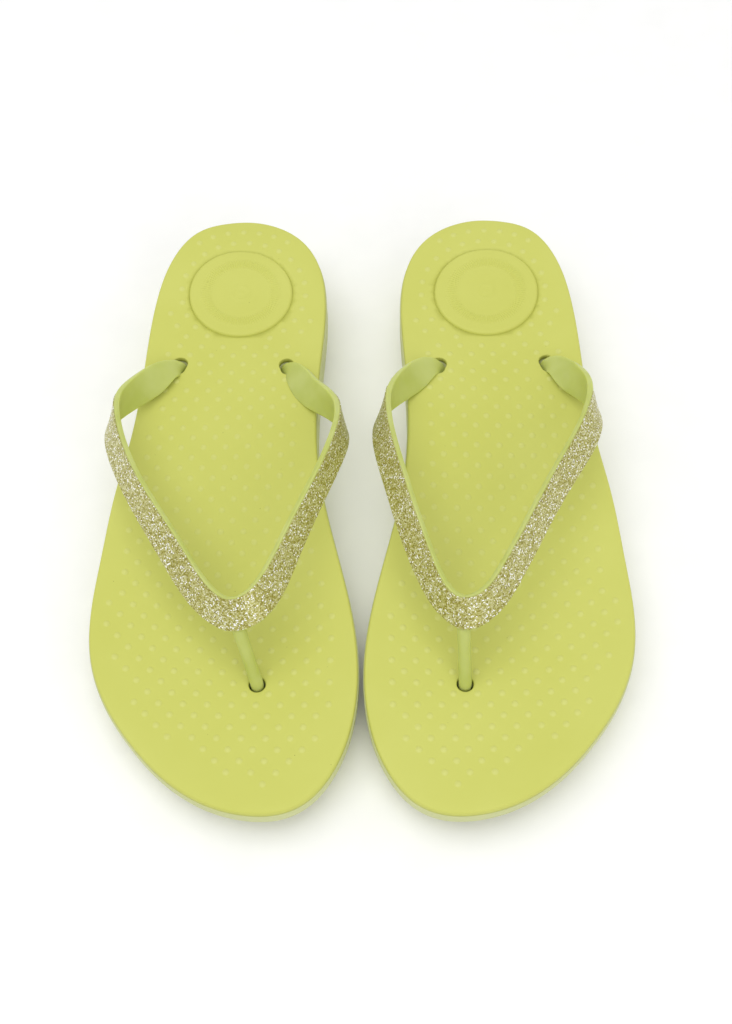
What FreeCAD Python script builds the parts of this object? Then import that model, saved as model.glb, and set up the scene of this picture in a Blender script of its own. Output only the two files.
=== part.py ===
import FreeCAD, Part
import math
import os

from FreeCAD import Vector

os.makedirs("parts", exist_ok=True)

# A pair of flip-flops, in millimetres. The toes point to -Y and the heels to +Y, +X is the wearer's left, and
# the origin is on the floor, under the middle of the pair. Each piece is modelled for the left foot in its own
# directions: out (X, towards the little toe), along (Y, towards the heel) and up (Z). The right foot is its mirror.
foot_spacing = 95.2
toe_out_deg = 1.0

# Sole and footbed. Heights are above the floor.
sole_bottom = 1.0
footbed_thickness = 2.5
wall_step = 0.4            # the sole's wall stands this far outside the footbed's
toe_spring = 6.0           # how far the underside rises at the tip of the toe
toe_spring_length = 48.0
heel_rise = 2.5
heel_rise_length = 22.0
toe_end, heel_end = -115.0, 136.6
wall_low_toe = 11.0        # below these two heights the wall tapers in, towards the bottom
wall_low_heel = 13.0
bottom_inset, toe_extra_inset = 2.5, 5.5

# The sole's outline, (along, out), from the back of the heel round the outside to the toe and back.
outline_points = [
    (136.6, 2.5), (134.8, 12), (130.8, 20.5), (118.5, 30.3), (98, 36.3), (62, 38.9), (30, 41.3), (8, 45.1),
    (-20, 47.8), (-45, 48.7), (-62, 46), (-76, 39.9), (-90, 29.8), (-103, 16.7), (-112, 0.8),
    (-114.9, -13), (-112.3, -28), (-101.5, -39), (-84, -46), (-62, -48), (-38, -44.9),
    (-12, -38.1), (12, -32.3), (40, -30), (70, -30.8), (100, -31), (117, -26.8),
    (129.1, -17.5), (134.7, -7.5),
]

# The footbed's top: height on the centre line, fall to the outside and rise of the rims, the last two per 40 mm.
centre_height = [(-125, 19.2), (-90, 17), (-50, 15), (-10, 18.6), (30, 25.4), (70, 25.6), (120, 28.1)]
fall_outwards = [(-125, -0.4), (-110, -0.3), (-40, 0.2), (30, 3), (100, -1.2), (120, -1.6)]
rim_rise = [(-125, 0.2), (-110, 0.6), (-50, 2.9), (20, 2), (90, 2.2), (120, 2.2)]
across_unit = 40.0

# Raised round medallion in the heel.
disc_along, disc_out = 98.8, 3.1
disc_diameter = 41.3
disc_proud = 1.0
disc_sunk = 1.2

# Openings for the strap: (along, out) of their middles. The side slots' long axes turn with the strap's tails.
toe_hole = (-66.5, -12.5)
toe_hole_diameter = 5.9
slot_places = {"outer": (63.6, 25.0), "inner": (63.0, -17.2)}
slot_length, slot_width = 8.0, 5.6
slot_turn_deg = 110.0      # from straight across; the inner slot turns the other way
tail_forward, tail_inward = 0.8, 0.8       # the tails stand this far off the slots' middles, to toe and centre

# Recesses under the sole, with a retaining washer and the strap's own head in each.
recess_top = 6.2
recess_length, recess_width = 16.5, 10.0
toe_recess_diameter = 16.0
washer_thickness = 1.8
washer_gap = 0.3           # all round, to the recess
head_thickness = 1.6
side_head_length, side_head_width = 13.0, 7.0
toe_head_diameter = 10.0

# Strap.
band_width, apex_extra_width, apex_reach = 11.5, 0.8, 0.06
neck_width = 6.0                 # at the tails, which are narrower than the rest of the band
neck_end, taper_end = 0.06, 0.12      # as shares of the band's length, from either end
band_thickness = 2.2
band_corner = 0.5
post_diameter = 4.6
post_bend = 9.0
post_share = 0.509         # where along the band the post joins it
post_overlap, post_behind = 2.5, 1.3      # how far the post reaches up the band, and behind its middle
film_thickness = 0.3
film_corner = 0.1
film_margin = 0.5
strap_sections = 80        # pieces that the band's length is divided into
film_first, film_last = 14, 66

# The band's middle line on each foot, from the little-toe side's slot over the point of the V to the other slot.
# Each station is (along, out, up) of the middle, then the direction across the band, towards its upper edge.
band_stations = {
    "left": [
        (61.6, 26.4, 27.3, 0.85, 0.3, 0.25), (54.2, 31.5, 31, 0.6, 0.48, 0.65), (46.2, 35.8, 35, 0.15, 0.3, 0.93),
        (38.6, 38.2, 38, 0.33, -0.14, 0.94), (1, 24.5, 44, 0.3, -0.55, 0.8), (-38, 3, 43, 0.4, -0.42, 0.82),
        (-51, -8.5, 42, 0.55, -0.3, 0.77), (-52, -12.5, 41.5, 0.72, -0.05, 0.68), (-50.5, -15.5, 41, 0.55, 0.15, 0.82),
        (-35, -25.5, 43.5, 0.15, 0.5, 0.83), (0.5, -36, 49, 0.05, 0.6, 0.8), (36.5, -37.4, 40.5, 0.31, 0.14, 0.94),
        (46.3, -32.2, 36, 0.2, -0.36, 0.9), (54.9, -26, 31.5, 0.62, -0.45, 0.64), (61.8, -18.9, 27.3, 0.85, -0.25, 0.25),
    ],
    "right": [
        (61.0, 26.4, 27.3, 0.85, 0.3, 0.25), (52.8, 33.2, 31, 0.55, 0.55, 0.62), (42.2, 40.4, 35.3, 0.15, 0.33, 0.92),
        (33, 44.0, 39, 0.34, -0.18, 0.92), (12, 40.4, 43, 0.25, -0.5, 0.8), (-30, 16.5, 42.5, 0.35, -0.55, 0.72),
        (-51, -1.5, 40.5, 0.55, -0.2, 0.8), (-52, -3.5, 41, 0.7, 0.1, 0.7), (-52.5, -6.5, 42, 0.68, 0.3, 0.67),
        (-26, -24, 44, 0.3, 0.42, 0.86), (11, -38.5, 48, 0.15, 0.35, 0.9), (30.5, -38.7, 41, 0.31, 0.1, 0.95),
        (40.6, -32.2, 36, 0.2, -0.4, 0.88), (49.3, -25.4, 31.5, 0.62, -0.42, 0.66), (60.2, -18.7, 27.3, 0.85, -0.2, 0.25),
    ],
}

# Grip pads let into the underside: first and last place along the sole.
grips = {"forefoot_grip": (-56.0, -4.0), "heel_grip": (80.0, 116.0)}
grip_inset = 12.0
grip_thickness = 2.5
groove_width, groove_depth, groove_pitch = 2.0, 1.2, 7.0

far = 200.0                # longer than any piece is wide or high


def smooth(stations):
    """A smooth height for any place along the foot."""
    curve = Part.BSplineCurve()
    curve.interpolate(Points=[Vector(a, h, 0) for a, h in stations], Parameters=[float(a) for a, h in stations])
    first, last = stations[0][0], stations[-1][0]
    return lambda along: curve.value(min(max(along, first), last)).y


centre_at, fall_at, rim_at = smooth(centre_height), smooth(fall_outwards), smooth(rim_rise)


def top_height(along, out):
    across = out / across_unit
    return centre_at(along) - fall_at(along) * across + rim_at(along) * across * across


def below_top(lift):
    """Everything below the footbed's top, moved up by lift."""
    rows = []
    for step in range(26):
        along = -135 + 11 * step
        rows.append([Vector(out, along, top_height(along, out) + lift) for out in range(-66, 67, 12)])
    surface = Part.BSplineSurface()
    surface.interpolate(rows)
    return surface.toShape().extrude(Vector(0, 0, -far))


outline_base = Part.BSplineCurve()
outline_base.interpolate(Points=[Vector(o, a, 0) for a, o in outline_points], PeriodicFlag=True)


def outline_wire(inset, height):
    """The outline moved inwards by inset(along), at height(along)."""
    count = 72
    first, last = outline_base.FirstParameter, outline_base.LastParameter
    points = []
    for step in range(count):
        at = first + (last - first) * step / count
        place = outline_base.value(at)
        tangent = outline_base.tangent(at)[0]
        inwards = tangent.cross(Vector(0, 0, 1))
        moved = place + inwards * inset(place.y)
        points.append(Vector(moved.x, moved.y, height(place.y)))
    curve = Part.BSplineCurve()
    curve.interpolate(Points=points, PeriodicFlag=True)
    return Part.Wire(curve.toShape())


def prism(wire, low, high):
    face = Part.Face(wire)
    face.translate(Vector(0, 0, low - wire.BoundBox.ZMin))
    return face.extrude(Vector(0, 0, high - low))


def upright(diameter, place, low, high):
    along, out = place
    return Part.makeCylinder(diameter / 2, high - low, Vector(out, along, low))


def oblong(length, width, place, turn_deg, low, high):
    """An upright bar with round ends. Its long axis is turned from the out direction towards the heel."""
    along, out = place
    reach = (length - width) / 2
    bar = Part.makeBox(2 * reach, width, high - low, Vector(-reach, -width / 2, low))
    ends = [Part.makeCylinder(width / 2, high - low, Vector(x, 0, low)) for x in (-reach, reach)]
    shape = bar.fuse(ends).removeSplitter()
    shape.rotate(Vector(0, 0, 0), Vector(0, 0, 1), turn_deg)
    shape.translate(Vector(out, along, 0))
    return shape


def slot_turn(name):
    return slot_turn_deg if name == "outer" else -slot_turn_deg


def through_holes():
    """What the post and the two arms pass through."""
    holes = [upright(toe_hole_diameter, toe_hole, -1, far)]
    for name, place in slot_places.items():
        holes.append(oblong(slot_length, slot_width, place, slot_turn(name), -1, far))
    return holes


def recesses():
    cuts = [upright(toe_recess_diameter, toe_hole, -1, recess_top)]
    for name, place in slot_places.items():
        cuts.append(oblong(recess_length, recess_width, place, slot_turn(name), -1, recess_top))
    return cuts


def grip_blank(name, low, high):
    """The outline, inset, between the pad's two ends."""
    first, last = grips[name]
    inner = prism(outline_wire(lambda a: grip_inset, lambda a: 0), low, high)
    return inner.common(Part.makeBox(far, last - first, high - low, Vector(-far / 2, first, low)))


def underside_space():
    """Everything above the sole's bottom line: flat, with an arc up to the toe and another to the heel."""
    toe_start, heel_start = toe_end + toe_spring_length, heel_end - heel_rise_length
    toe_radius = toe_spring_length ** 2 / (2 * toe_spring)
    heel_radius = heel_rise_length ** 2 / (2 * heel_rise)

    def on_arc(centre, radius, run):
        drop = math.sqrt(radius * radius - run * run)
        return Vector(-far / 2, centre + run, sole_bottom + radius - drop)

    toe_tip, heel_tip = on_arc(toe_start, toe_radius, -toe_spring_length - 4), on_arc(heel_start, heel_radius, 26)
    flat_toe, flat_heel = on_arc(toe_start, toe_radius, 0), on_arc(heel_start, heel_radius, 0)
    top_heel = Vector(-far / 2, heel_tip.y, far / 2)
    top_toe = Vector(-far / 2, toe_tip.y, far / 2)
    edges = [
        Part.Arc(toe_tip, on_arc(toe_start, toe_radius, -toe_spring_length / 2), flat_toe).toShape(),
        Part.makeLine(flat_toe, flat_heel),
        Part.Arc(flat_heel, on_arc(heel_start, heel_radius, 13), heel_tip).toShape(),
        Part.makeLine(heel_tip, top_heel),
        Part.makeLine(top_heel, top_toe),
        Part.makeLine(top_toe, toe_tip),
    ]
    return Part.Face(Part.Wire(edges)).extrude(Vector(far, 0, 0))


def wall_low(along):
    share = (along - toe_end) / (heel_end - toe_end)
    return wall_low_toe + (wall_low_heel - wall_low_toe) * share


def low_inset(along):
    share = min(max((-60 - along) / 50, 0), 1)
    return bottom_inset + toe_extra_inset * share * share * (3 - 2 * share)


def make_footbed():
    blank = prism(outline_wire(lambda a: wall_step, lambda a: 0), 0, far / 2)
    layer = blank.common(below_top(0)).cut(below_top(-footbed_thickness))
    pocket = upright(disc_diameter, (disc_along, disc_out), 0, far).cut(below_top(-disc_sunk))
    return layer.cut([pocket] + through_holes())


def make_heel_disc():
    blank = upright(disc_diameter, (disc_along, disc_out), 0, far / 2)
    return blank.common(below_top(disc_proud)).cut(below_top(-disc_sunk))


def make_sole():
    full = lambda a: 0
    sections = [
        outline_wire(low_inset, lambda a: 0),
        outline_wire(full, wall_low),
        outline_wire(full, lambda a: 45),
    ]
    body = Part.makeLoft(sections, True, True)
    body = body.common(underside_space()).common(below_top(-footbed_thickness))
    pads = [grip_blank(name, -1, grip_thickness) for name in grips]
    return body.cut(through_holes() + recesses() + pads)


def make_grip(name):
    pad = grip_blank(name, 0, grip_thickness)
    first, last = grips[name]
    grooves = []
    along = first + groove_pitch / 2
    while along < last:
        grooves.append(Part.makeBox(far, groove_width, groove_depth, Vector(-far / 2, along, 0)))
        along += groove_pitch
    return pad.cut(grooves)


def make_toe_washer():
    disc = upright(toe_recess_diameter - 2 * washer_gap, toe_hole, recess_top - washer_thickness, recess_top)
    return disc.cut(upright(post_diameter + 0.5, toe_hole, 0, far))


def tail_place(name):
    along, out = slot_places[name]
    return along - tail_forward, out - math.copysign(tail_inward, out)


def make_side_washer(name):
    low = recess_top - washer_thickness
    length, width = recess_length - 2 * washer_gap, recess_width - 2 * washer_gap
    disc = oblong(length, width, slot_places[name], slot_turn(name), low, recess_top)
    opening = oblong(neck_width + 0.5, band_thickness + 0.5, tail_place(name), slot_turn(name), 0, far)
    return disc.cut(opening)


def band_line(foot):
    """The band's middle line and its upper edge line, as two curves with the same parameter from 0 to 1."""
    stations = list(band_stations[foot])
    head_top = recess_top - washer_thickness - head_thickness / 2
    turn = math.radians(slot_turn_deg)
    for name in slot_places:
        along, out = tail_place(name)
        sideways = 1 if name == "outer" else -1
        lean = (math.sin(turn), sideways * math.cos(turn), 0)
        tail = [(along, out, up) + lean for up in (head_top, 10, 17, 23)]
        if name == "outer":
            stations = tail + stations
        else:
            stations = stations + tail[::-1]
    middles = [Vector(s[1], s[0], s[2]) for s in stations]
    uppers = [middle + Vector(s[4], s[3], s[5]) * band_width for middle, s in zip(middles, stations)]
    lengths = [0]
    for before, after in zip(middles, middles[1:]):
        lengths.append(lengths[-1] + (after - before).Length)
    shares = [length / lengths[-1] for length in lengths]
    line, upper = Part.BSplineCurve(), Part.BSplineCurve()
    line.interpolate(Points=middles, Parameters=shares)
    upper.interpolate(Points=uppers, Parameters=shares)
    return line, upper


def band_frame(curves, at):
    """Middle, direction across and outward normal of the band at a share of its length."""
    line, upper = curves
    tangent = line.tangent(at)[0]
    lean = upper.value(at) - line.value(at)
    lean = (lean - tangent * lean.dot(tangent)).normalize()
    return line.value(at), lean, lean.cross(tangent)


def rounded_section(middle, across, normal, width, thickness, corner):
    """A rectangle with round corners, as a closed wire of four lines and four arcs."""
    half_w, half_t = width / 2, thickness / 2
    in_w, in_t, diagonal = half_w - corner, half_t - corner, corner * math.sqrt(0.5)

    def point(w, t):
        return middle + across * w + normal * t

    edges = []
    for sw, st in ((1, 1), (-1, 1), (-1, -1), (1, -1)):
        start, end = (half_w, in_t), (in_w, half_t)
        if sw * st < 0:
            start, end = end, start
        arc_middle = point(sw * (in_w + diagonal), st * (in_t + diagonal))
        first, last = point(sw * start[0], st * start[1]), point(sw * end[0], st * end[1])
        if edges:
            edges.append(Part.makeLine(edges[-1].Vertexes[-1].Point, first))
        edges.append(Part.Arc(first, arc_middle, last).toShape())
    edges.append(Part.makeLine(edges[-1].Vertexes[-1].Point, edges[0].Vertexes[0].Point))
    return Part.Wire(edges)


def width_at(at):
    from_end = min(at, 1 - at)
    widening = min(max((from_end - neck_end) / (taper_end - neck_end), 0), 1)
    widening = widening * widening * (3 - 2 * widening)
    apex = apex_extra_width * math.exp(-(((at - 0.5) / apex_reach) ** 2))
    return neck_width + (band_width - neck_width) * widening + apex


def make_strap(foot):
    curves = band_line(foot)
    sections = []
    for step in range(strap_sections + 1):
        at = step / strap_sections
        middle, across, normal = band_frame(curves, at)
        sections.append(rounded_section(middle, across, normal, width_at(at), band_thickness, band_corner))
    band = Part.makeLoft(sections, True, True)
    high = recess_top - washer_thickness
    heads = []
    for name in slot_places:
        heads.append(oblong(side_head_length, side_head_width, tail_place(name), slot_turn(name),
                            high - head_thickness, high))
    return band.fuse(heads)


def make_film(foot):
    curves = band_line(foot)
    offset = (band_thickness + film_thickness) / 2
    sections = []
    for step in range(film_first, film_last + 1):
        at = step / strap_sections
        middle, across, normal = band_frame(curves, at)
        width = width_at(at) - 2 * film_margin
        sections.append(rounded_section(middle + normal * offset, across, normal, width, film_thickness, film_corner))
    return Part.makeLoft(sections, True, True)


def make_toe_post(foot, strap):
    """A round rod: down from inside the band's point, a bend at the footbed, then straight down to its head."""
    middle, across, normal = band_frame(band_line(foot), post_share)
    start = middle - across * (width_at(post_share) / 2 - post_overlap) - normal * post_behind
    along, out = toe_hole
    corner = Vector(out, along, top_height(along, out) + 0.5)
    low = recess_top - washer_thickness - head_thickness / 2
    end = Vector(out, along, low)
    back, down = (start - corner).normalize(), (end - corner).normalize()
    half_turn = (math.pi - back.getAngle(down)) / 2
    reach = post_bend * math.tan(half_turn)
    bisector = (back + down).normalize()
    arc_middle = corner + bisector * (post_bend / math.cos(half_turn) - post_bend)
    path = Part.Wire([
        Part.makeLine(start, corner + back * reach),
        Part.Arc(corner + back * reach, arc_middle, corner + down * reach).toShape(),
        Part.makeLine(corner + down * reach, end),
    ])
    circle = Part.Wire(Part.makeCircle(post_diameter / 2, start, back))
    rod = path.makePipeShell([circle], True, False)
    high = recess_top - washer_thickness
    head = upright(toe_head_diameter, toe_hole, high - head_thickness, high)
    pieces = rod.fuse(head).cut(strap).Solids
    return max(pieces, key=lambda piece: piece.Volume)      # without the scrap in front of the band


def put(shape, foot):
    """Moves a left-foot piece to its place on the floor, or its mirror image to the right foot's."""
    side = 1 if foot == "left" else -1
    placed = shape.copy()
    if foot == "right":
        placed = placed.mirror(Vector(0, 0, 0), Vector(1, 0, 0))
    placed.rotate(Vector(0, 0, 0), Vector(0, 0, 1), side * toe_out_deg)
    placed.translate(Vector(side * foot_spacing / 2, -(toe_end + heel_end) / 2, 0))
    return placed


def save(shape, foot, name):
    if shape.ShapeType == "Compound" and len(shape.Solids) == 1:
        shape = shape.Solids[0]
    placed = put(shape, foot)
    placed.exportStep("parts/%s_%s.step" % (foot, name))
    print(foot, name, "solids", len(placed.Solids), "valid", placed.isValid(), "cm3", round(placed.Volume / 1000, 2))


shared = {
    "footbed": make_footbed(),
    "heel_disc": make_heel_disc(),
    "sole": make_sole(),
    "toe_washer": make_toe_washer(),
}
for name in slot_places:
    shared[name + "_washer"] = make_side_washer(name)
for name in grips:
    shared[name] = make_grip(name)

for foot in ("left", "right"):
    for name, shape in shared.items():
        save(shape, foot, name)
    strap = make_strap(foot)
    save(strap, foot, "strap")
    save(make_film(foot), foot, "glitter_film")
    save(make_toe_post(foot, strap), foot, "toe_post")
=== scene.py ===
import math

import bmesh
import bpy
import numpy as np
from mathutils import Matrix, Vector, geometry
from mathutils.bvhtree import BVHTree
from mathutils.kdtree import KDTree


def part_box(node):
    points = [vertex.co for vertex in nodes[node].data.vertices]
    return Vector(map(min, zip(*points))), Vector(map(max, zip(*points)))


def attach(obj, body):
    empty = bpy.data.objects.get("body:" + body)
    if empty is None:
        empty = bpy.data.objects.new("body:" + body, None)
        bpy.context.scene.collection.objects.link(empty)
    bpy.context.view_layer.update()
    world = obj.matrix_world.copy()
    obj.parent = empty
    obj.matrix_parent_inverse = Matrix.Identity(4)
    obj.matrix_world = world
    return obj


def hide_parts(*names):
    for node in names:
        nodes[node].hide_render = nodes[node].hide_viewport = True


# A pair of summer sandals: foam footbed on a paler foam sole, TPU strap with a glitter film.
# Shapes are worked out for a left foot in mm as (out, along, up): out to the little toe, along to the heel.
# The right foot is the mirror image.
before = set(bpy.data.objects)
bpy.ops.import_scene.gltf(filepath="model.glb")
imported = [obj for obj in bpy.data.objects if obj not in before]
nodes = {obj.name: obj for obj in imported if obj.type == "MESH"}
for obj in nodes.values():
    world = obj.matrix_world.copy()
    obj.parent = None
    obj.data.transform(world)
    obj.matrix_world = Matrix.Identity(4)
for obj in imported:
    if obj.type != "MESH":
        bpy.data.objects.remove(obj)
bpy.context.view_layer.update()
feet = {"right": -1, "left": 1}
placing = {"spacing": 95.2, "toeOut": 1.0, "middleAlong": 10.8}


def toWorld(points, side):
    # local mm to metres in the frame
    points = np.asarray(points, float)
    turn = side * math.radians(placing["toeOut"])
    x, y = side * points[..., 0], points[..., 1]
    worldX = x * math.cos(turn) - y * math.sin(turn) + side * placing["spacing"] / 2
    worldY = x * math.sin(turn) + y * math.cos(turn) - placing["middleAlong"]
    return np.stack([worldX, worldY, points[..., 2]], -1) / 1000


def toLocal(points, side):
    points = np.asarray(points, float) * 1000
    turn = side * math.radians(placing["toeOut"])
    x = points[..., 0] - side * placing["spacing"] / 2
    y = points[..., 1] + placing["middleAlong"]
    return np.stack([side * (x * math.cos(turn) + y * math.sin(turn)),
                     -x * math.sin(turn) + y * math.cos(turn), points[..., 2]], -1)


def treeOf(name):
    mesh = nodes[name].data
    return BVHTree.FromPolygons([v.co[:] for v in mesh.vertices], [p.vertices[:] for p in mesh.polygons])


def smoothStep(t):
    t = np.clip(t, 0, 1)
    return t * t * (3 - 2 * t)


def naturalSpline(knots, values):
    # a smooth curve through the values, straight at both ends
    knots, values = np.asarray(knots, float), np.asarray(values, float)
    count = len(knots)
    steps = np.diff(knots)
    system, right = np.eye(count), np.zeros_like(values)
    for i in range(1, count - 1):
        system[i, i - 1] = steps[i - 1]
        system[i, i] = 2 * (steps[i - 1] + steps[i])
        system[i, i + 1] = steps[i]
        right[i] = 6 * ((values[i + 1] - values[i]) / steps[i] - (values[i] - values[i - 1]) / steps[i - 1])
    bends = np.linalg.solve(system, right)

    def at(places):
        places = np.asarray(places, float)
        i = np.clip(np.searchsorted(knots, places) - 1, 0, count - 2)
        step = steps[i][:, None]
        a, b = (knots[i + 1][:, None] - places[:, None]) / step, (places[:, None] - knots[i][:, None]) / step
        return (a * values[i] + b * values[i + 1]
                + ((a ** 3 - a) * bends[i] + (b ** 3 - b) * bends[i + 1]) * step ** 2 / 6)

    return at


# The openings, as listed, and what the frame gives: the medallion's place, the footbed's top and the sole's
# outline.
holes = {
    "toe": {"place": (-12.5, -66.5), "length": 5.9, "width": 5.9, "turn": 0, "recess": (16.0, 16.0)},
    "outer": {"place": (25.0, 63.6), "length": 8.0, "width": 5.6, "turn": 110, "recess": (16.5, 10.0)},
    "inner": {"place": (-17.2, 63.0), "length": 8.0, "width": 5.6, "turn": -110, "recess": (16.5, 10.0)},
}
discLow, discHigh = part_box("left_heel_disc")
discPlace = toLocal(np.array((discLow + discHigh) / 2), 1)
discRadius = (discHigh.x - discLow.x) * 500


def fitTop():
    # heights read from the CAD footbed, as one smooth surface
    tree = treeOf("left_footbed")
    places, heights = [], []
    for along in np.arange(-112, 131, 3.0):
        for out in np.arange(-46, 47, 4.0):
            nearHole = any(math.dist(hole["place"], (out, along)) < hole["length"] / 2 + 1.5
                           for hole in holes.values())
            if nearHole or math.dist(discPlace[:2], (out, along)) < discRadius + 1:
                continue
            start = toWorld((out, along, 100), 1)
            hit = tree.ray_cast(Vector(start), Vector((0, 0, -1)))
            if hit[0] is not None and hit[1].z > 0.5:
                places.append((out, along))
                heights.append(hit[0].z * 1000)
    places = np.array(places)
    factors = np.linalg.lstsq(topTerms(places[:, 0], places[:, 1]), np.array(heights), rcond=None)[0]
    return factors


def topTerms(out, along):
    reach, across = (along - 9) / 125, out / 40
    lengthwise = np.polynomial.chebyshev.chebvander(np.clip(reach, -1, 1), 10)
    return np.hstack([lengthwise * (across ** power)[:, None] for power in range(3)])


topFactors = fitTop()


def topHeight(points):
    points = np.atleast_2d(points)
    return topTerms(points[:, 0], points[:, 1]) @ topFactors


def readOutline(count=480, keep=26):
    # the CAD sole's wall, met from outside at one height, then smoothed
    tree = treeOf("left_sole")
    starts = []
    for angle in np.linspace(0, math.pi, 60, endpoint=False):
        starts.append((0, 82, math.cos(angle), math.sin(angle)))
    for along in np.arange(82, -60, -2.0):
        starts.append((0, along, -1, 0))
    for angle in np.linspace(math.pi, 2 * math.pi, 60, endpoint=False):
        starts.append((0, -60, math.cos(angle), math.sin(angle)))
    for along in np.arange(-60, 82, 2.0):
        starts.append((0, along, 1, 0))
    ring = []
    for out, along, dirOut, dirAlong in starts:
        start = toWorld((out + 95 * dirOut, along + 95 * dirAlong, 14), 1)
        aim = toWorld((out, along, 14), 1) - start
        hit = tree.ray_cast(Vector(start), Vector(aim).normalized())
        ring.append(toLocal(np.array(hit[0]), 1)[:2])
    ring = np.array(ring)
    closed = np.vstack([ring, ring[:1]])
    run = np.concatenate([[0], np.cumsum(np.linalg.norm(np.diff(closed, axis=0), axis=1))])
    even = np.linspace(0, run[-1], count, endpoint=False)
    waves = np.fft.fft(np.interp(even, run, closed[:, 0]) + 1j * np.interp(even, run, closed[:, 1]))
    waves[keep + 1:-keep] = 0
    smooth = np.fft.ifft(waves)
    slope = np.fft.ifft(waves * np.fft.fftfreq(count, 1 / count) * 1j)
    inwards = 1j * slope / np.abs(slope)      # the ring runs anticlockwise
    return np.stack([smooth.real, smooth.imag], -1), np.stack([inwards.real, inwards.imag], -1)


outline, inwards = readOutline()
print("outline and top read from the frame")


def outlineRing(inset):
    inset = np.asarray(inset, float)
    return outline + inwards * (inset[:, None] if inset.ndim else inset)


def oblongRing(place, length, width, turn, grow=0, arcSteps=18, sideSteps=6):
    # a slot's edge, anticlockwise; a round hole is the case where length is width
    reach, radius = (length - width) / 2, width / 2 + grow
    points = []
    for centre, first in ((reach, -math.pi / 2), (-reach, math.pi / 2)):
        for angle in np.linspace(first, first + math.pi, arcSteps + 1):
            points.append((centre + radius * math.cos(angle), radius * math.sin(angle)))
        for step in range(1, sideSteps if reach else 1):
            share = step / sideSteps
            points.append((centre - 2 * centre * share, radius * math.copysign(1, centre)))
    points = np.array(points)
    if not reach:
        points = np.delete(points, (arcSteps, 2 * arcSteps + 1), axis=0)
    turn = math.radians(turn)
    spun = np.stack([points[:, 0] * math.cos(turn) - points[:, 1] * math.sin(turn),
                     points[:, 0] * math.sin(turn) + points[:, 1] * math.cos(turn)], -1)
    return spun + np.array(place)


def holeRing(name, grow=0):
    hole = holes[name]
    return oblongRing(hole["place"], hole["length"], hole["width"], hole["turn"], grow)


def recessRing(name, grow=0):
    hole = holes[name]
    return oblongRing(hole["place"], hole["recess"][0], hole["recess"][1], hole["turn"], grow)


def raised(ring, heights):
    heights = np.broadcast_to(np.asarray(heights, float), (len(ring),))
    return np.column_stack([ring, heights])


# Each mesh function gives (points, faces), and joinParts makes one piece of several such pairs.
def band(lower, upper):
    # quads between two rings of as many points
    count = len(lower)
    nextOne = (np.arange(count) + 1) % count
    here = np.arange(count)
    faces = np.stack([here, nextOne, count + nextOne, count + here], -1)
    return np.vstack([lower, upper]), faces.tolist()


def stack(rings, capped=True):
    # rings one after another, with both ends closed
    parts = [band(a, b) for a, b in zip(rings, rings[1:])]
    if capped:
        count = len(rings[0])
        parts.append((rings[0], [list(range(count))[::-1]]))
        parts.append((rings[-1], [list(range(count))]))
    return merge(parts)


def merge(parts):
    points, faces, start = [], [], 0
    for partPoints, partFaces in parts:
        points.append(partPoints)
        faces.extend([[start + i for i in face] for face in partFaces])
        start += len(partPoints)
    return np.vstack(points), faces


def insideRing(points, ring):
    after = np.roll(ring, -1, axis=0)
    within = np.zeros(len(points), bool)
    for (x1, y1), (x2, y2) in zip(ring, after):
        crosses = (y1 > points[:, 1]) != (y2 > points[:, 1])
        if y1 != y2:
            within ^= crosses & (points[:, 0] < (x2 - x1) * (points[:, 1] - y1) / (y2 - y1) + x1)
    return within


def sheet(rims, lines, loose, heightAt):
    # triangles inside the first rim and outside the other rims; lines are rings that stay as edges
    rings = list(rims) + list(lines)
    points = np.vstack(rings + [loose]) if len(loose) else np.vstack(rings)
    edges, start, rimOf = [], 0, np.full(len(points), -1)
    for index, ring in enumerate(rings):
        count = len(ring)
        edges.extend([(start + i, start + (i + 1) % count) for i in range(count)])
        if index < len(rims):
            rimOf[start:start + count] = index
        start += count
    result = geometry.delaunay_2d_cdt([Vector(p) for p in points], edges, [], 0, 1e-7, True)
    flat = np.array([v[:] for v in result[0]])
    rim = np.array([rimOf[origin[0]] if origin else -1 for origin in result[3]])
    faces = np.array([list(face) for face in result[2]])
    middles = flat[faces].mean(1)
    doubtful = (rim[faces] >= 0).all(1)
    keep = np.ones(len(faces), bool)
    if doubtful.any():
        good = insideRing(middles[doubtful], rims[0])
        for ring in rims[1:]:
            good &= ~insideRing(middles[doubtful], ring)
        keep[doubtful] = good
    return np.column_stack([flat, heightAt(flat)]), faces[keep].tolist()


def gridPoints(pitch, rims, clear, avoid=None, avoidRadius=0):
    # an even triangular grid kept clear of the rims and of the avoided points
    low, high = rims[0].min(0), rims[0].max(0)
    rows = []
    for row, along in enumerate(np.arange(low[1], high[1], pitch * 0.866)):
        outs = np.arange(low[0] + (row % 2) * pitch / 2, high[0], pitch)
        rows.append(np.column_stack([outs, np.full(len(outs), along)]))
    points = np.vstack(rows)
    points = points[insideRing(points, rims[0])]
    for ring in rims[1:]:
        points = points[~insideRing(points, ring)]
    near = np.vstack(rims)
    points = points[nearest(points, near) > clear]
    if avoid is not None:
        points = points[nearest(points, avoid) > avoidRadius]
    return points


def nearest(points, others):
    best = np.full(len(points), np.inf)
    for start in range(0, len(others), 400):
        block = others[start:start + 400]
        gap = np.hypot(points[:, None, 0] - block[None, :, 0], points[:, None, 1] - block[None, :, 1])
        best = np.minimum(best, gap.min(1))
    return best


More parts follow.
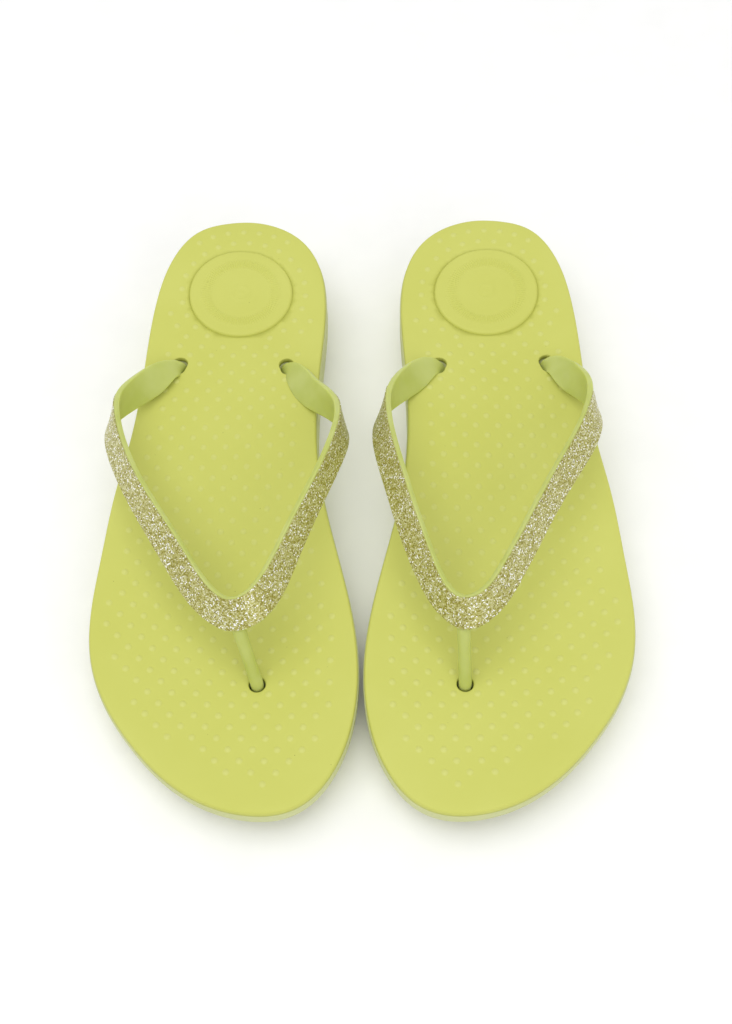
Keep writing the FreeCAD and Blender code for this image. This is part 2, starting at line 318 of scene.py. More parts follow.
def joinParts(name, parts, side, material, replaced):
    points, faces = merge(parts)
    mesh = bpy.data.meshes.new(name)
    work = bmesh.new()
    verts = [work.verts.new(p) for p in toWorld(points, side)]
    for face in faces:
        try:
            work.faces.new([verts[i] for i in face])
        except ValueError:
            continue      # the face is there already
    bmesh.ops.remove_doubles(work, verts=work.verts, dist=2e-6)
    bmesh.ops.dissolve_degenerate(work, edges=work.edges, dist=1e-7)
    bmesh.ops.recalc_face_normals(work, faces=work.faces)
    for face in work.faces:
        face.smooth = True
    work.to_mesh(mesh)
    work.free()
    piece = bpy.data.objects.new(name, mesh)
    bpy.context.scene.collection.objects.link(piece)
    mesh.materials.append(material)
    foot = "left" if side > 0 else "right"
    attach(piece, foot + "_flip_flop")
    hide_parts(foot + "_" + replaced)
    return piece


def linear(hexText):
    parts = [int(hexText[i:i + 2], 16) / 255 for i in (1, 3, 5)]
    return tuple(c / 12.92 if c <= 0.04045 else ((c + 0.055) / 1.055) ** 2.4 for c in parts) + (1.0,)


def addNode(tree, kind, settings=None, links=None):
    # settings are node attributes or input values, links are {input: (node, output)}
    node = tree.nodes.new(kind)
    for name, value in (settings or {}).items():
        if isinstance(name, str) and hasattr(node, name):
            setattr(node, name, value)
        else:
            node.inputs[name].default_value = value
    for name, (source, output) in (links or {}).items():
        tree.links.new(source.outputs[output], node.inputs[name])
    return node


def newMaterial(name, settings):
    material = bpy.data.materials.new(name)
    material.use_nodes = True
    tree = material.node_tree
    tree.nodes.clear()
    shader = addNode(tree, "ShaderNodeBsdfPrincipled", settings)
    addNode(tree, "ShaderNodeOutputMaterial", {}, {"Surface": (shader, "BSDF")})
    place = addNode(tree, "ShaderNodeTexCoord")
    return material, tree, shader, place


def ramp(tree, source, stops, output="Fac"):
    # colour stops [(position, colour)]
    node = addNode(tree, "ShaderNodeValToRGB", {}, {"Fac": (source, output)})
    elements = node.color_ramp.elements
    while len(elements) < len(stops):
        elements.new(0.5)
    for element, (position, colour) in zip(elements, stops):
        element.position, element.color = position, colour
    return node


foam = {
    "footbed": "#cacd66",
    "shade": "#c6c95e",
    # the colour of the painted highlight on the dots' crowns
    "crownHighlight": "#dadc92",
    "speck": "#8f8f2c",
    "sole": "#ced29a",
    "soleShade": "#c8cc92",
    "poreMm": 0.45,
    "speckMm": 3.2,
    "roughness": 0.6,
}


def evaFoam(name, colour, shade, speck, crownHighlighted=False):
    # EVA closed-cell foam, compression moulded: matt, with a faint skin of pores and a few dark specks
    material, tree, shader, place = newMaterial(name, {"Roughness": foam["roughness"], "IOR": 1.48})
    cloud = addNode(tree, "ShaderNodeTexNoise", {"Scale": 28.0, "Detail": 3.0}, {"Vector": (place, "Object")})
    tone = ramp(tree, cloud, [(0.3, linear(shade)), (0.7, linear(colour))])
    dust = addNode(tree, "ShaderNodeTexVoronoi", {"Scale": 1000 / foam["speckMm"]},
                   {"Vector": (place, "Object")})
    rare = addNode(tree, "ShaderNodeTexNoise", {"Scale": 120.0}, {"Vector": (place, "Object")})
    near = addNode(tree, "ShaderNodeMath", {"operation": "LESS_THAN", 1: 0.05}, {0: (dust, "Distance")})
    some = addNode(tree, "ShaderNodeMath", {"operation": "GREATER_THAN", 1: 0.62}, {0: (rare, "Fac")})
    both = addNode(tree, "ShaderNodeMath", {"operation": "MULTIPLY"},
                   {0: (near, "Value"), 1: (some, "Value")})
    mix = addNode(tree, "ShaderNodeMix", {"data_type": "RGBA", "B": linear(speck)},
                  {"Factor": (both, "Value")})
    tree.links.new(tone.outputs["Color"], mix.inputs["A"])
    pores = addNode(tree, "ShaderNodeTexNoise", {"Scale": 1000 / foam["poreMm"], "Detail": 2.0},
                    {"Vector": (place, "Object")})
    bump = addNode(tree, "ShaderNodeBump", {"Strength": 0.12, "Distance": 0.0001}, {"Height": (pores, "Fac")})
    tree.links.new(mix.outputs["Result"], shader.inputs["Base Color"])
    tree.links.new(bump.outputs["Normal"], shader.inputs["Normal"])
    if crownHighlighted:
        # painted highlight: the dots' crowns are painted a little paler than the rest, as if lit from above
        crownHighlight = addNode(tree, "ShaderNodeAttribute", {"attribute_name": "crownHighlight"})
        # inputs 1 to 4 are the range that is read and the range that it becomes
        highlightAmount = addNode(tree, "ShaderNodeMapRange", {1: 0.15, 2: 0.5, 3: 0.0, 4: 0.3}, {0: (crownHighlight, "Fac")})
        highlightedTone = addNode(tree, "ShaderNodeMix", {"data_type": "RGBA", "B": linear(foam["crownHighlight"])},
                        {"Factor": (highlightAmount, "Result"), "A": (mix, "Result")})
        tree.links.new(highlightedTone.outputs["Result"], shader.inputs["Base Color"])
    return material


strapLook = {"colour": "#c1c974", "deep": "#bac366", "roughness": 0.38, "scatterMm": 3.0}


def strapTpu():
    # injection-moulded TPU: slightly cloudy, satin, and it glows where light gets through it
    material, tree, shader, place = newMaterial("strapTpu", {
        "Roughness": strapLook["roughness"], "IOR": 1.5, "Subsurface Weight": 0.6,
        "Subsurface Radius": (1.0, 1.0, 0.5), "Subsurface Scale": strapLook["scatterMm"] / 1000})
    cloud = addNode(tree, "ShaderNodeTexNoise", {"Scale": 90.0, "Detail": 2.0}, {"Vector": (place, "Object")})
    tone = ramp(tree, cloud, [(0.35, linear(strapLook["deep"])), (0.6, linear(strapLook["colour"]))])
    ripple = addNode(tree, "ShaderNodeTexNoise", {"Scale": 900.0}, {"Vector": (place, "Object")})
    bump = addNode(tree, "ShaderNodeBump", {"Strength": 0.06, "Distance": 0.0001},
                   {"Height": (ripple, "Fac")})
    tree.links.new(tone.outputs["Color"], shader.inputs["Base Color"])
    tree.links.new(bump.outputs["Normal"], shader.inputs["Normal"])
    return material


glitter = {
    "flakeMm": 0.42,
    # painted sparkle: white flakes are painted glints, dark olive flakes are painted unlit flakes
    "sparkleTones": [(0.0, "#8d8529"), (0.25, "#aca64f"), (0.5, "#bfbc78"), (0.74, "#d6d4a4"), (0.92, "#ffffff")],
    "tilt": 0.25,
}


def glitterFilm():
    # metallised polyester flakes under a clear film: each flake has its own tilt and a painted tone, from
    # dark to white, that stands for its sparkle: painted glints and painted unlit flakes
    material, tree, shader, place = newMaterial("glitterFilm", {
        "Metallic": 0.3, "Roughness": 0.4, "IOR": 1.5, "Coat Weight": 0.25, "Coat Roughness": 0.25})
    flakes = addNode(tree, "ShaderNodeTexVoronoi", {"Scale": 1000 / glitter["flakeMm"]},
                     {"Vector": (place, "Object")})
    split = addNode(tree, "ShaderNodeSeparateColor", {}, {"Color": (flakes, "Color")})
    tone = ramp(tree, split, [(at, linear(c)) for at, c in glitter["sparkleTones"]], "Red")
    tone.color_ramp.interpolation = "CONSTANT"
    tree.links.new(tone.outputs["Color"], shader.inputs["Base Color"])
    bump = addNode(tree, "ShaderNodeBump", {"Strength": glitter["tilt"], "Distance": 0.0002},
                   {"Height": (split, "Green")})
    tree.links.new(bump.outputs["Normal"], shader.inputs["Normal"])
    return material


def mouldedPlain(name, colour, roughness, grainMm):
    # a small moulded part: one colour with a fine grain from the tool
    material, tree, shader, place = newMaterial(name, {"Roughness": roughness, "IOR": 1.5})
    cloud = addNode(tree, "ShaderNodeTexNoise", {"Scale": 1000 / grainMm, "Detail": 3.0},
                    {"Vector": (place, "Object")})
    low = tuple(c * 0.9 for c in linear(colour)[:3]) + (1.0,)
    tone = ramp(tree, cloud, [(0.35, low), (0.65, linear(colour))])
    bump = addNode(tree, "ShaderNodeBump", {"Strength": 0.15, "Distance": 0.0001}, {"Height": (cloud, "Fac")})
    tree.links.new(tone.outputs["Color"], shader.inputs["Base Color"])
    tree.links.new(bump.outputs["Normal"], shader.inputs["Normal"])
    return material


# the footbed foam carries the painted highlight on the dots' crowns
footbedFoam = evaFoam("footbedFoam", foam["footbed"], foam["shade"], foam["speck"], crownHighlighted=True)
soleFoam = evaFoam("soleFoam", foam["sole"], foam["soleShade"], foam["sole"])
tpu = strapTpu()
film = glitterFilm()
washerNylon = mouldedPlain("washerNylon", "#cfd29a", 0.45, 0.8)
gripRubber = mouldedPlain("gripRubber", "#b9be62", 0.75, 0.6)
print("materials made")

# Footbed, with its moulded-in dots.
footbed = {"thickness": 2.5, "wallStep": 0.4, "edge": 1.1, "holeEdge": 0.5, "gridMm": 2.2}
bumps = {
    "pitch": 8.43, "rowPitch": 4.2165, "firstRow": -104.0, "lastRow": 73.6, "phase": 0.1,
    "radius": 1.3, "height": 0.45,
    "ringCentre": (2.0, 99.4), "rings": [(24.7, 24, 2.0), (30.4, 30, 2.5)], "ringMargin": 4.6,
    "margin": 6.0, "toeMargin": 4.0, "outerMargin": 1.5,
}


def bumpPlaces():
    edge = outlineRing(footbed["wallStep"])
    places = []
    rows = int(round((bumps["lastRow"] - bumps["firstRow"]) / bumps["rowPitch"]))
    for row in range(rows + 1):
        along = bumps["firstRow"] + bumps["rowPitch"] * row
        shift = bumps["phase"] + (row % 2) * bumps["pitch"] / 2
        for step in range(-7, 8):
            out = shift + step * bumps["pitch"]
            toe = smoothStep((-55 - along) / 40)
            outer = smoothStep((out + 20) / 30)
            gap = bumps["margin"] + toe * (bumps["toeMargin"] + bumps["outerMargin"] * outer)
            places.append((out, along, gap))
    for radius, count, first in bumps["rings"]:
        for step in range(count):
            angle = math.radians(first + 360 * step / count)
            out = bumps["ringCentre"][0] + radius * math.cos(angle)
            along = bumps["ringCentre"][1] + radius * math.sin(angle)
            if along > bumps["lastRow"] + 3.2:
                places.append((out, along, bumps["ringMargin"]))
    places = np.array(places)
    spots, gaps = places[:, :2], places[:, 2]
    keep = insideRing(spots, edge) & (nearest(spots, edge) > gaps)
    for name in holes:
        ring = holeRing(name)
        keep &= ~insideRing(spots, ring) & (nearest(spots, ring) > 2.2)
    keep &= np.hypot(spots[:, 0] - discPlace[0], spots[:, 1] - discPlace[1]) > discRadius + 2.2
    return spots[keep]


def circle(place, radius, count):
    angles = np.arange(count) * 2 * math.pi / count
    return np.column_stack([place[0] + radius * np.cos(angles), place[1] + radius * np.sin(angles)])


def edgeRounding(radius, steps=4):
    # (inset, drop) pairs of a quarter-round edge, from the wall up to the flat
    return [(radius * (1 - math.cos(a)), radius * (1 - math.sin(a)))
            for a in np.linspace(0, math.pi / 2, steps + 1)]


spots = bumpPlaces()
print("raised dots on each footbed:", len(spots))


def footbedParts():
    thick, step = footbed["thickness"], footbed["wallStep"]
    edgeRings = [(outlineRing(step + inset), drop) for inset, drop in edgeRounding(footbed["edge"])]
    holeRings = {name: [(holeRing(name, inset), drop) for inset, drop in edgeRounding(footbed["holeEdge"], 3)]
                 for name in holes}
    pocket = circle(discPlace, discRadius, 180)
    rims = [edgeRings[0][0]] + [rings[0][0] for rings in holeRings.values()] + [pocket]
    lines = [ring for ring, drop in edgeRings[1:]]
    for rings in holeRings.values():
        lines.extend(ring for ring, drop in rings[1:])
    # rings of points on each dot: (share of its radius, points)
    domeShares = [(0.0, 1), (0.32, 8), (0.62, 12), (0.85, 14), (1.0, 16), (1.22, 16)]
    dots = []
    for share, count in domeShares:
        for spot in spots:
            dots.append(circle(spot, bumps["radius"] * share, count) if share else spot[None])
    dots = np.vstack(dots)
    loose = gridPoints(footbed["gridMm"], [edgeRings[-1][0]] + rims[1:], 1.1, spots,
                       bumps["radius"] * domeShares[-1][0] + 0.7)
    rounded = edgeRings + [pair for rings in holeRings.values() for pair in rings]
    drops = np.concatenate([np.full(len(ring), drop) for ring, drop in rounded])
    dropPoints = np.vstack([ring for ring, drop in rounded])
    dropTree = KDTree(len(dropPoints))
    for index, spot in enumerate(dropPoints):
        dropTree.insert((spot[0], spot[1], 0), index)
    dropTree.balance()

    def topAt(flat):
        heights = topHeight(flat)
        gap = nearest(flat, spots) / bumps["radius"]
        heights = heights + bumps["height"] * np.clip(1 - gap ** 2, 0, 1) ** 1.3
        found = [dropTree.find((p[0], p[1], 0)) for p in flat]
        fall = np.array([drops[index] if distance < 0.002 else 0.0 for spot, index, distance in found])
        return heights - fall

    def bottomAt(flat):
        return topHeight(flat) - thick

    top = sheet(rims, lines, np.vstack([dots, loose]), topAt)
    coarse = gridPoints(6.0, rims, 3.0)
    bottom = sheet(rims, [], coarse, bottomAt)
    parts = [top, bottom]
    walls = [(edgeRings[0][0], footbed["edge"])]
    walls += [(rings[0][0], footbed["holeEdge"]) for rings in holeRings.values()]
    walls.append((pocket, 0.0))
    for ring, radius in walls:
        high, low = topHeight(ring) - radius, topHeight(ring) - thick
        middle = (low + high) / 2
        parts.append(band(raised(ring, low), raised(ring, middle)))
        parts.append(band(raised(ring, middle), raised(ring, high)))
    return parts


print("working out the footbed")
footbedShape = footbedParts()

def markCrownHighlights(piece, side):
    # the mask of the painted highlight: 1 on a dot's crown, 0 at its foot and beyond, for the foam's colour
    mesh = piece.data
    places = np.empty(len(mesh.vertices) * 3)
    mesh.vertices.foreach_get("co", places)
    gap = nearest(toLocal(places.reshape(-1, 3), side)[:, :2], spots) / bumps["radius"]
    crownHighlight = mesh.attributes.new("crownHighlight", "FLOAT", "POINT")
    crownHighlight.data.foreach_set("value", np.clip(1.22 - gap, 0, 1).astype(np.float32))


for foot, side in feet.items():
    markCrownHighlights(joinParts(foot + "FootbedTop", footbedShape, side, footbedFoam, "footbed"), side)

# Heel medallion: a plain raised disc with a ring of fine ribs, a small ring and a dot.
medallion = {"proud": 1.0, "sunk": 1.15, "edge": 1.3, "ribs": 90, "ribFrom": 0.57, "ribTo": 0.77,
             "ribHeight": 0.24, "ringAt": 3.2, "ringWidth": 0.45, "ringHeight": 0.18, "dot": 1.0}


def medallionParts():
    radius = discRadius
    around = medallion["ribs"] * 8
    angles = np.arange(around) * 2 * math.pi / around
    radii = [0.4, 0.8, 1.1, 2.0, 2.7, 2.95, 3.2, 3.45, 3.7, 5, 7, 9, 10.6]
    low, high = medallion["ribFrom"] * radius, medallion["ribTo"] * radius
    radii += list(np.linspace(low - 0.1, high + 0.1, 9)) + [high + 0.9, radius - medallion["edge"] - 0.6]
    rounding = [(radius - inset, drop) for inset, drop in edgeRounding(medallion["edge"], 6)][::-1]

    def ringPoints(r, drop):
        flat = np.column_stack([discPlace[0] + r * np.cos(angles), discPlace[1] + r * np.sin(angles)])
        ribs = 0.5 + 0.5 * np.cos(angles * medallion["ribs"])
        ends = smoothStep((r - low) / 0.5) * smoothStep((high - r) / 0.5)
        heights = topHeight(flat) + medallion["proud"] + medallion["ribHeight"] * ends * ribs - drop
        fromRing = (r - medallion["ringAt"]) / medallion["ringWidth"]
        heights = heights + medallion["ringHeight"] * math.exp(-fromRing ** 2)
        heights = heights + medallion["ringHeight"] * max(0.0, 1 - (r / medallion["dot"]) ** 2)
        return np.column_stack([flat, heights])

    rings = [ringPoints(r, 0.0) for r in radii] + [ringPoints(r, drop) for r, drop in rounding]
    wall = rings[-1].copy()
    wall[:, 2] = topHeight(wall[:, :2]) - medallion["sunk"]
    rings.append(wall)
    return [stack(rings)]


medallionShape = medallionParts()
for foot, side in feet.items():
    joinParts(foot + "HeelMedallion", medallionShape, side, footbedFoam, "heel_disc")
print("footbeds and medallions made")

# Sole: the paler body, rounded along its lower edge.
sole = {"bottom": 1.0, "toeSpring": 6.0, "toeRun": 48.0, "heelRise": 2.5, "heelRun": 22.0, "toeEnd": -115.0,
        "heelEnd": 136.6, "wallLowToe": 11.0, "wallLowHeel": 13.0, "inset": 2.5, "toeInset": 5.5,
        "edge": 2.6, "topEdge": 0.35, "recessTop": 6.2}


def undersideAt(along):
    toeRadius = sole["toeRun"] ** 2 / (2 * sole["toeSpring"])
    heelRadius = sole["heelRun"] ** 2 / (2 * sole["heelRise"])
    toe = np.maximum(sole["toeEnd"] + sole["toeRun"] - along, 0)
    heel = np.maximum(along - (sole["heelEnd"] - sole["heelRun"]), 0)
    toeLift = toeRadius - np.sqrt(toeRadius ** 2 - np.minimum(toe, toeRadius * 0.9) ** 2)
    heelLift = heelRadius - np.sqrt(heelRadius ** 2 - np.minimum(heel, heelRadius * 0.9) ** 2)
    return sole["bottom"] + toeLift + heelLift


def soleParts():
    along = outline[:, 1]
    share = (along - sole["toeEnd"]) / (sole["heelEnd"] - sole["toeEnd"])
    wallLow = sole["wallLowToe"] + (sole["wallLowHeel"] - sole["wallLowToe"]) * share
    lowInset = sole["inset"] + sole["toeInset"] * smoothStep((-60 - along) / 50)
    high = topHeight(outline) - footbed["thickness"]
    under = undersideAt(along)
    corner = np.stack([lowInset * (1 - under / wallLow), under], -1)
    shoulder = np.stack([np.zeros(len(along)), wallLow], -1)
    slope = (shoulder - corner) / np.linalg.norm(shoulder - corner, axis=1)[:, None]
    profile = [np.stack([np.full(len(along), inset), high - drop], -1)
               for inset, drop in ((1.6, 0.0), (sole["topEdge"], 0.0), (0.1, 0.1), (0.0, sole["topEdge"]))]
    start = shoulder + np.array([0.0, 1.0]) * np.minimum(1.6, (high - wallLow) * 0.6)[:, None]
    for t in (0.35, 0.7, 1.0):
        profile.append(profile[3] + (start - profile[3]) * t)
    after = shoulder - slope * 1.6
    for t in (0.33, 0.67, 1.0):
        profile.append(start * (1 - t) ** 2 + shoulder * 2 * t * (1 - t) + after * t ** 2)
    before = corner + slope * sole["edge"]
    for t in (0.33, 0.67, 1.0):
        profile.append(after + (before - after) * t)
    flat = corner + np.array([1.0, 0.0]) * sole["edge"]
    for t in (0.2, 0.4, 0.6, 0.8, 1.0):
        profile.append(before * (1 - t) ** 2 + corner * 2 * t * (1 - t) + flat * t ** 2)
    rings = [np.column_stack([outline + inwards * p[:, :1], p[:, 1]]) for p in profile]
    parts = [stack(rings, capped=False)]
    topRims = [rings[0][:, :2]] + [holeRing(name) for name in holes]
    topPoints = gridPoints(6.0, topRims, 3.0)
    parts.append(sheet(topRims, [], topPoints, lambda flat: topHeight(flat) - footbed["thickness"]))
    bottomRims = [rings[-1][:, :2]] + [recessRing(name, 0.5) for name in holes]
    bottomPoints = gridPoints(5.0, bottomRims, 2.5)
    parts.append(sheet(bottomRims, [], bottomPoints, lambda flat: undersideAt(flat[:, 1])))
    for name in holes:
        rim, wall, hole = recessRing(name, 0.5), recessRing(name), holeRing(name)
        shallow = undersideAt(rim[:, 1])
        rings = [raised(rim, shallow), raised(wall + (rim - wall) * 0.3, shallow + 0.15),
                 raised(wall, shallow + 0.5), raised(wall, sole["recessTop"]),
                 raised(hole, sole["recessTop"]),
                 raised(hole, (sole["recessTop"] + topHeight(hole) - footbed["thickness"]) / 2),
                 raised(hole, topHeight(hole) - footbed["thickness"])]
        parts.append(stack(rings, capped=False))
    return parts


soleShape = soleParts()
for foot, side in feet.items():
    joinParts(foot + "Sole", soleShape, side, soleFoam, "sole")
print("soles made")

# Strap: one flat band from slot to slot, with a head at each end.
strap = {"width": 11.5, "neck": 6.0, "neckEnd": 0.06, "taperEnd": 0.12, "apexExtra": 0.8,
         "apexReach": 0.06, "thickness": 2.2, "corner": 0.6, "sections": 320,
         "slotTurn": 110, "tailForward": 0.8, "tailInward": 0.8,
         "headTop": 4.4, "headThickness": 1.6, "headSize": (13.0, 7.0)}
# the band's middle line from the outer slot over the toe to the inner slot: (along, out, up),
# then the direction across the band, to its upper edge
bandStations = {
    "left": [
        (61.6, 26.4, 27.3, 0.85, 0.3, 0.25), (54.2, 31.5, 31, 0.6, 0.48, 0.65),
        (46.2, 35.8, 35, 0.15, 0.3, 0.93), (38.6, 38.2, 38, 0.33, -0.14, 0.94),
        (1, 24.5, 44, 0.3, -0.55, 0.8), (-38, 3, 43, 0.4, -0.42, 0.82),
        (-51, -8.5, 42, 0.55, -0.3, 0.77), (-52, -12.5, 41.5, 0.72, -0.05, 0.68),
        (-50.5, -15.5, 41, 0.55, 0.15, 0.82), (-35, -25.5, 43.5, 0.15, 0.5, 0.83),
        (0.5, -36, 49, 0.05, 0.6, 0.8), (36.5, -37.4, 40.5, 0.31, 0.14, 0.94),
        (46.3, -32.2, 36, 0.2, -0.36, 0.9), (54.9, -26, 31.5, 0.62, -0.45, 0.64),
        (61.8, -18.9, 27.3, 0.85, -0.25, 0.25),
    ],
    "right": [
        (61.0, 26.4, 27.3, 0.85, 0.3, 0.25), (52.8, 33.2, 31, 0.55, 0.55, 0.62),
        (42.2, 40.4, 35.3, 0.15, 0.33, 0.92), (33, 44.0, 39, 0.34, -0.18, 0.92),
        (12, 40.4, 43, 0.25, -0.5, 0.8), (-30, 16.5, 42.5, 0.35, -0.55, 0.72),
        (-51, -1.5, 40.5, 0.55, -0.2, 0.8), (-52, -3.5, 41, 0.7, 0.1, 0.7),
        (-52.5, -6.5, 42, 0.68, 0.3, 0.67), (-26, -24, 44, 0.3, 0.42, 0.86),
        (11, -38.5, 48, 0.15, 0.35, 0.9), (30.5, -38.7, 41, 0.31, 0.1, 0.95),
        (40.6, -32.2, 36, 0.2, -0.4, 0.88), (49.3, -25.4, 31.5, 0.62, -0.42, 0.66),
        (60.2, -18.7, 27.3, 0.85, -0.2, 0.25),
    ],
}


def tailPlace(name):
    out, along = holes[name]["place"]
    return out - math.copysign(strap["tailInward"], out), along - strap["tailForward"]


def bandLine(foot):
    rows = list(bandStations[foot])
    turn = math.radians(strap["slotTurn"])
    headMiddle = strap["headTop"] - strap["headThickness"] / 2
    for name in ("outer", "inner"):
        out, along = tailPlace(name)
        lean = (math.sin(turn), math.cos(turn) * (1 if name == "outer" else -1), 0)
        tail = [(along, out, up) + lean for up in (headMiddle, 10, 17, 23)]
        rows = tail + rows if name == "outer" else rows + tail[::-1]
    rows = np.array(rows)
    middles = rows[:, [1, 0, 2]]
    uppers = middles + rows[:, [4, 3, 5]] * strap["width"]
    run = np.concatenate([[0], np.cumsum(np.linalg.norm(np.diff(middles, axis=0), axis=1))])
    return naturalSpline(run / run[-1], middles), naturalSpline(run / run[-1], uppers)


def unit(vectors):
    return vectors / np.linalg.norm(vectors, axis=-1, keepdims=True)


def bandFrames(foot, shares):
    line, upper = bandLine(foot)
    middles = line(shares)
    tangents = unit(line(shares + 1e-4) - line(shares - 1e-4))
    lean = upper(shares) - middles
    lean = unit(lean - tangents * (lean * tangents).sum(1, keepdims=True))
    return middles, lean, np.cross(lean, tangents)


def widthAt(shares):
    fromEnd = np.minimum(shares, 1 - shares)
    widening = smoothStep((fromEnd - strap["neckEnd"]) / (strap["taperEnd"] - strap["neckEnd"]))
    apex = strap["apexExtra"] * np.exp(-((shares - 0.5) / strap["apexReach"]) ** 2)
    return strap["neck"] + (strap["width"] - strap["neck"]) * widening + apex


def roundedSection(width, thickness, corner, arcSteps=5, faceSteps=6):
    # (across, outwards) points of a flat bar's section
    points = []
    for signW, signT, first in ((1, 1, 0.0), (-1, 1, 0.5), (-1, -1, 1.0), (1, -1, 1.5)):
        for angle in np.linspace(first * math.pi, (first + 0.5) * math.pi, arcSteps + 1):
            points.append((signW * (width / 2 - corner) + corner * math.cos(angle),
                           signT * (thickness / 2 - corner) + corner * math.sin(angle)))
        if signW == signT:
            reach = width / 2 - corner
            for step in range(1, faceSteps):
                points.append((signW * (reach - 2 * reach * step / faceSteps), signT * thickness / 2))
    return np.array(points)


def sweep(foot, shares, widths, thickness, corner, offset=0.0, thin=None):
    middles, lean, normal = bandFrames(foot, shares)
    rings = []
    for i in range(len(shares)):
        depth = thickness if thin is None else thickness * thin[i]
        section = roundedSection(widths[i], depth, min(corner, depth * 0.45))
        shift = offset - (thickness - depth) / 2
        rings.append(middles[i] + lean[i] * section[:, :1] + normal[i] * (section[:, 1:] + shift))
    return stack(rings)


def plate(name, length, width, low, high, edge):
    out, along = tailPlace(name) if name != "toe" else holes["toe"]["place"]
    turn = holes[name]["turn"]
    rings = []
    for inset, drop in edgeRounding(edge, 3)[::-1]:
        rings.append(raised(oblongRing((out, along), length, width, turn, -inset), low + drop))
    for inset, drop in edgeRounding(edge, 3):
        rings.append(raised(oblongRing((out, along), length, width, turn, -inset), high - drop))
    return stack(rings)


def strapParts(foot):
    shares = np.linspace(0, 1, strap["sections"] + 1)
    parts = [sweep(foot, shares, widthAt(shares), strap["thickness"], strap["corner"])]
    low = strap["headTop"] - strap["headThickness"]
    for name in ("outer", "inner"):
        parts.append(plate(name, strap["headSize"][0], strap["headSize"][1], low, strap["headTop"], 0.4))
    return parts


for foot, side in feet.items():
    joinParts(foot + "Strap", strapParts(foot), side, tpu, "strap")

# Glitter film on the band's outer face.
coating = {"from": 0.175, "to": 0.825, "thickness": 0.3, "margin": 0.5, "endRun": 0.006}


def filmParts(foot):
    shares = np.linspace(coating["from"], coating["to"], 200)
    ends = np.minimum(shares - coating["from"], coating["to"] - shares) / coating["endRun"]
    narrow = 2.2 * (1 - np.sqrt(np.clip(1 - (1 - np.clip(ends, 0, 1)) ** 2, 0, 1)))
    widths = widthAt(shares) - 2 * coating["margin"] - narrow
    offset = (strap["thickness"] + coating["thickness"]) / 2 - 0.02
    return [sweep(foot, shares, widths, coating["thickness"], 0.12, offset)]


for foot, side in feet.items():
    joinParts(foot + "GlitterFilm", filmParts(foot), side, film, "glitter_film")

# Toe post: a round rod from the band's point down through the footbed.
post = {"share": 0.509, "radius": 2.3, "bend": 9.0, "overlap": 2.5, "behind": 1.3, "headRadius": 5.0,
        "flare": 0.12, "around": 40}


def postParts(foot):
    middles, lean, normal = bandFrames(foot, np.array([post["share"]]))
    start = middles[0] - lean[0] * (widthAt(post["share"]) / 2 - post["overlap"]) - normal[0] * post["behind"]
    out, along = holes["toe"]["place"]
    corner = np.array([out, along, topHeight(np.array([[out, along]]))[0] + 0.5])
    end = np.array([out, along, strap["headTop"] - strap["headThickness"] / 2])
    back, down = unit(start - corner), unit(end - corner)
    half = (math.pi - math.acos(float(back @ down))) / 2
    reach = post["bend"] * math.tan(half)
    hub = corner + unit(back + down) * post["bend"] / math.cos(half)
    first, last = corner + back * reach, corner + down * reach
    line, aims = [], []
    for share in np.linspace(0, 1, 16):
        line.append(start + (first - start) * share)
        aims.append(-back)
    spokeA, spokeB = unit(first - hub), unit(last - hub)
    for share in np.linspace(0, 1, 12)[1:]:
        spoke = unit(spokeA * math.sin((1 - share) * 2 * half) + spokeB * math.sin(share * 2 * half))
        line.append(hub + spoke * post["bend"])
        aims.append(unit(-back * (1 - share) + down * share))
    for share in np.linspace(0, 1, 6)[1:]:
        line.append(last + (end - last) * share)
        aims.append(down)
    sideways = unit(np.cross(back, down))
    angles = np.arange(post["around"]) * 2 * math.pi / post["around"]
    rings = []
    for index, (place, aim) in enumerate(zip(line, aims)):
        forwards = np.cross(sideways, aim)
        fromBand = np.linalg.norm(place - start) if index < 16 else 99
        radius = post["radius"] + post["flare"] * smoothStep((9 - fromBand) / 6)
        circleRound = np.outer(np.cos(angles), sideways) + np.outer(np.sin(angles), forwards)
        rings.append(place + radius * circleRound)
    low = strap["headTop"] - strap["headThickness"]
    size = 2 * post["headRadius"]
    return [stack(rings), plate("toe", size, size, low, strap["headTop"], 0.4)]


for foot, side in feet.items():
    joinParts(foot + "ToePost", postParts(foot), side, tpu, "toe_post")
print("straps, films and posts made")

# The washers and the grip pads keep the shapes that they have in the frame.
for foot in feet:
    for name in ("toe_washer", "inner_washer", "outer_washer"):
        nodes[foot + "_" + name].data.materials.clear()
        nodes[foot + "_" + name].data.materials.append(washerNylon)
    for name in ("forefoot_grip", "heel_grip"):
        nodes[foot + "_" + name].data.materials.clear()
        nodes[foot + "_" + name].data.materials.append(gripRubber)

# Floor, light and camera.
studio = {"floor": "#fdfdfc", "sky": 0.68, "key": 7.6, "keySize": 1.4, "fill": 2.5}


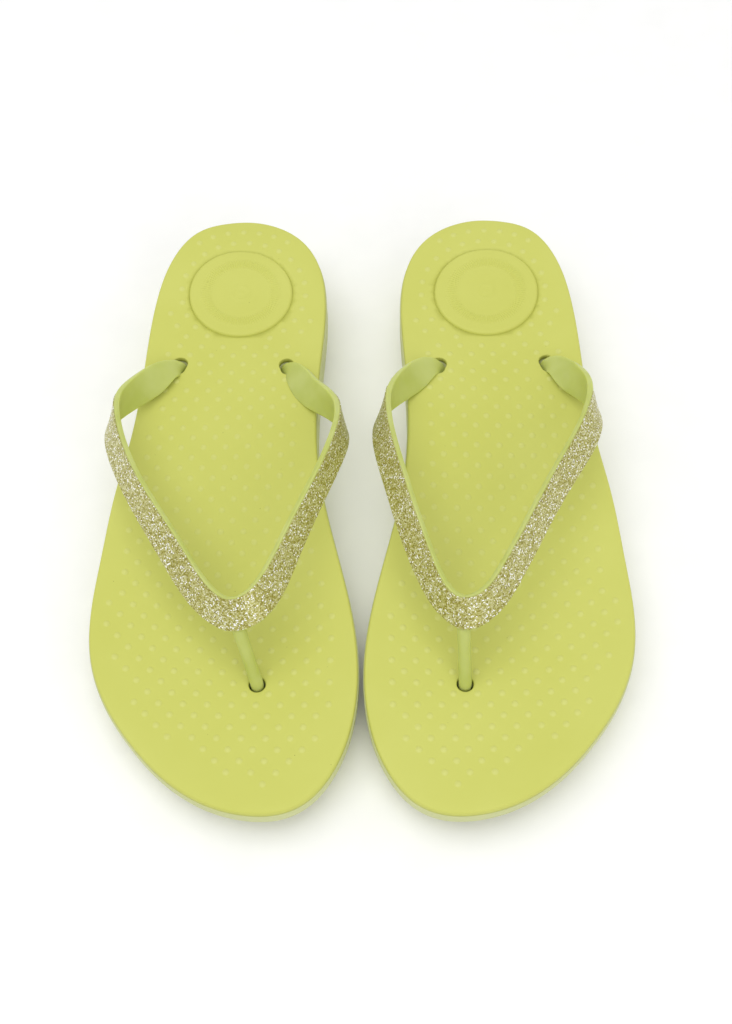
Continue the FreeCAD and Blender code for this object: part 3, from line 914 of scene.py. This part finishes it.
def makeFloor():
    mesh = bpy.data.meshes.new("studioFloor")
    size, rise, curve = 1.6, 1.2, 0.4
    work = bmesh.new()
    rows = []
    line = [(-size, 0.0), (size - curve, 0.0)]
    for angle in np.linspace(0.1, math.pi / 2, 12):
        line.append((size - curve + curve * math.sin(angle), curve - curve * math.cos(angle)))
    line += [(size, rise)]
    for y, z in line:
        rows.append([work.verts.new((x, y, z)) for x in (-size * 1.5, size * 1.5)])
    for a, b in zip(rows, rows[1:]):
        work.faces.new([a[0], a[1], b[1], b[0]]).smooth = True
    work.to_mesh(mesh)
    work.free()
    floor = bpy.data.objects.new("studioFloor", mesh)
    bpy.context.scene.collection.objects.link(floor)
    material, tree, shader, place = newMaterial("paintedFloor", {"Roughness": 0.9})
    grain = addNode(tree, "ShaderNodeTexNoise", {"Scale": 60.0}, {"Vector": (place, "Object")})
    tone = ramp(tree, grain, [(0.3, linear("#fafaf9")), (0.7, linear(studio["floor"]))])
    tree.links.new(tone.outputs["Color"], shader.inputs["Base Color"])
    mesh.materials.append(material)


def makeLight(name, place, aim, size, power):
    light = bpy.data.lights.new(name, "AREA")
    light.shape, light.size, light.energy = "DISK", size, power
    holder = bpy.data.objects.new(name, light)
    holder.location = place
    holder.rotation_euler = (Vector(aim) - Vector(place)).to_track_quat("-Z", "Y").to_euler()
    bpy.context.scene.collection.objects.link(holder)


def makeWorld():
    world = bpy.data.worlds.new("softbox")
    bpy.context.scene.world = world
    world.use_nodes = True
    world.node_tree.nodes["Background"].inputs["Color"].default_value = (1, 1, 1, 1)
    world.node_tree.nodes["Background"].inputs["Strength"].default_value = studio["sky"]


view = {"place": (0.0118, -0.29225, 0.4881), "yaw": -2.1, "pitch": 58.91, "roll": -2.1, "lens": 52.03}


def makeCamera():
    yaw, pitch, roll = (math.radians(view[k]) for k in ("yaw", "pitch", "roll"))
    forwards = Vector((math.sin(yaw) * math.cos(pitch), math.cos(yaw) * math.cos(pitch), -math.sin(pitch)))
    right = Vector((math.cos(yaw), -math.sin(yaw), 0))
    up = right.cross(forwards)
    tiltedRight = right * math.cos(roll) + up * math.sin(roll)
    tiltedUp = up * math.cos(roll) - right * math.sin(roll)
    camera = bpy.data.cameras.new("camera")
    camera.lens, camera.sensor_width, camera.clip_start = view["lens"], 36.0, 0.01
    holder = bpy.data.objects.new("camera", camera)
    rotation = Matrix((tiltedRight, tiltedUp, -forwards)).transposed()
    holder.matrix_world = Matrix.Translation(view["place"]) @ rotation.to_4x4()
    bpy.context.scene.collection.objects.link(holder)
    bpy.context.scene.camera = holder


makeFloor()
makeWorld()
makeLight("keyLight", (-0.25, -0.1, 1.3), (0, 0, 0), studio["keySize"], studio["key"])
makeLight("fillLight", (0.6, -0.9, 0.8), (0, 0, 0), 1.0, studio["fill"])
makeCamera()
bpy.context.scene.view_settings.view_transform = "Standard"
print("stage, lights and camera set")
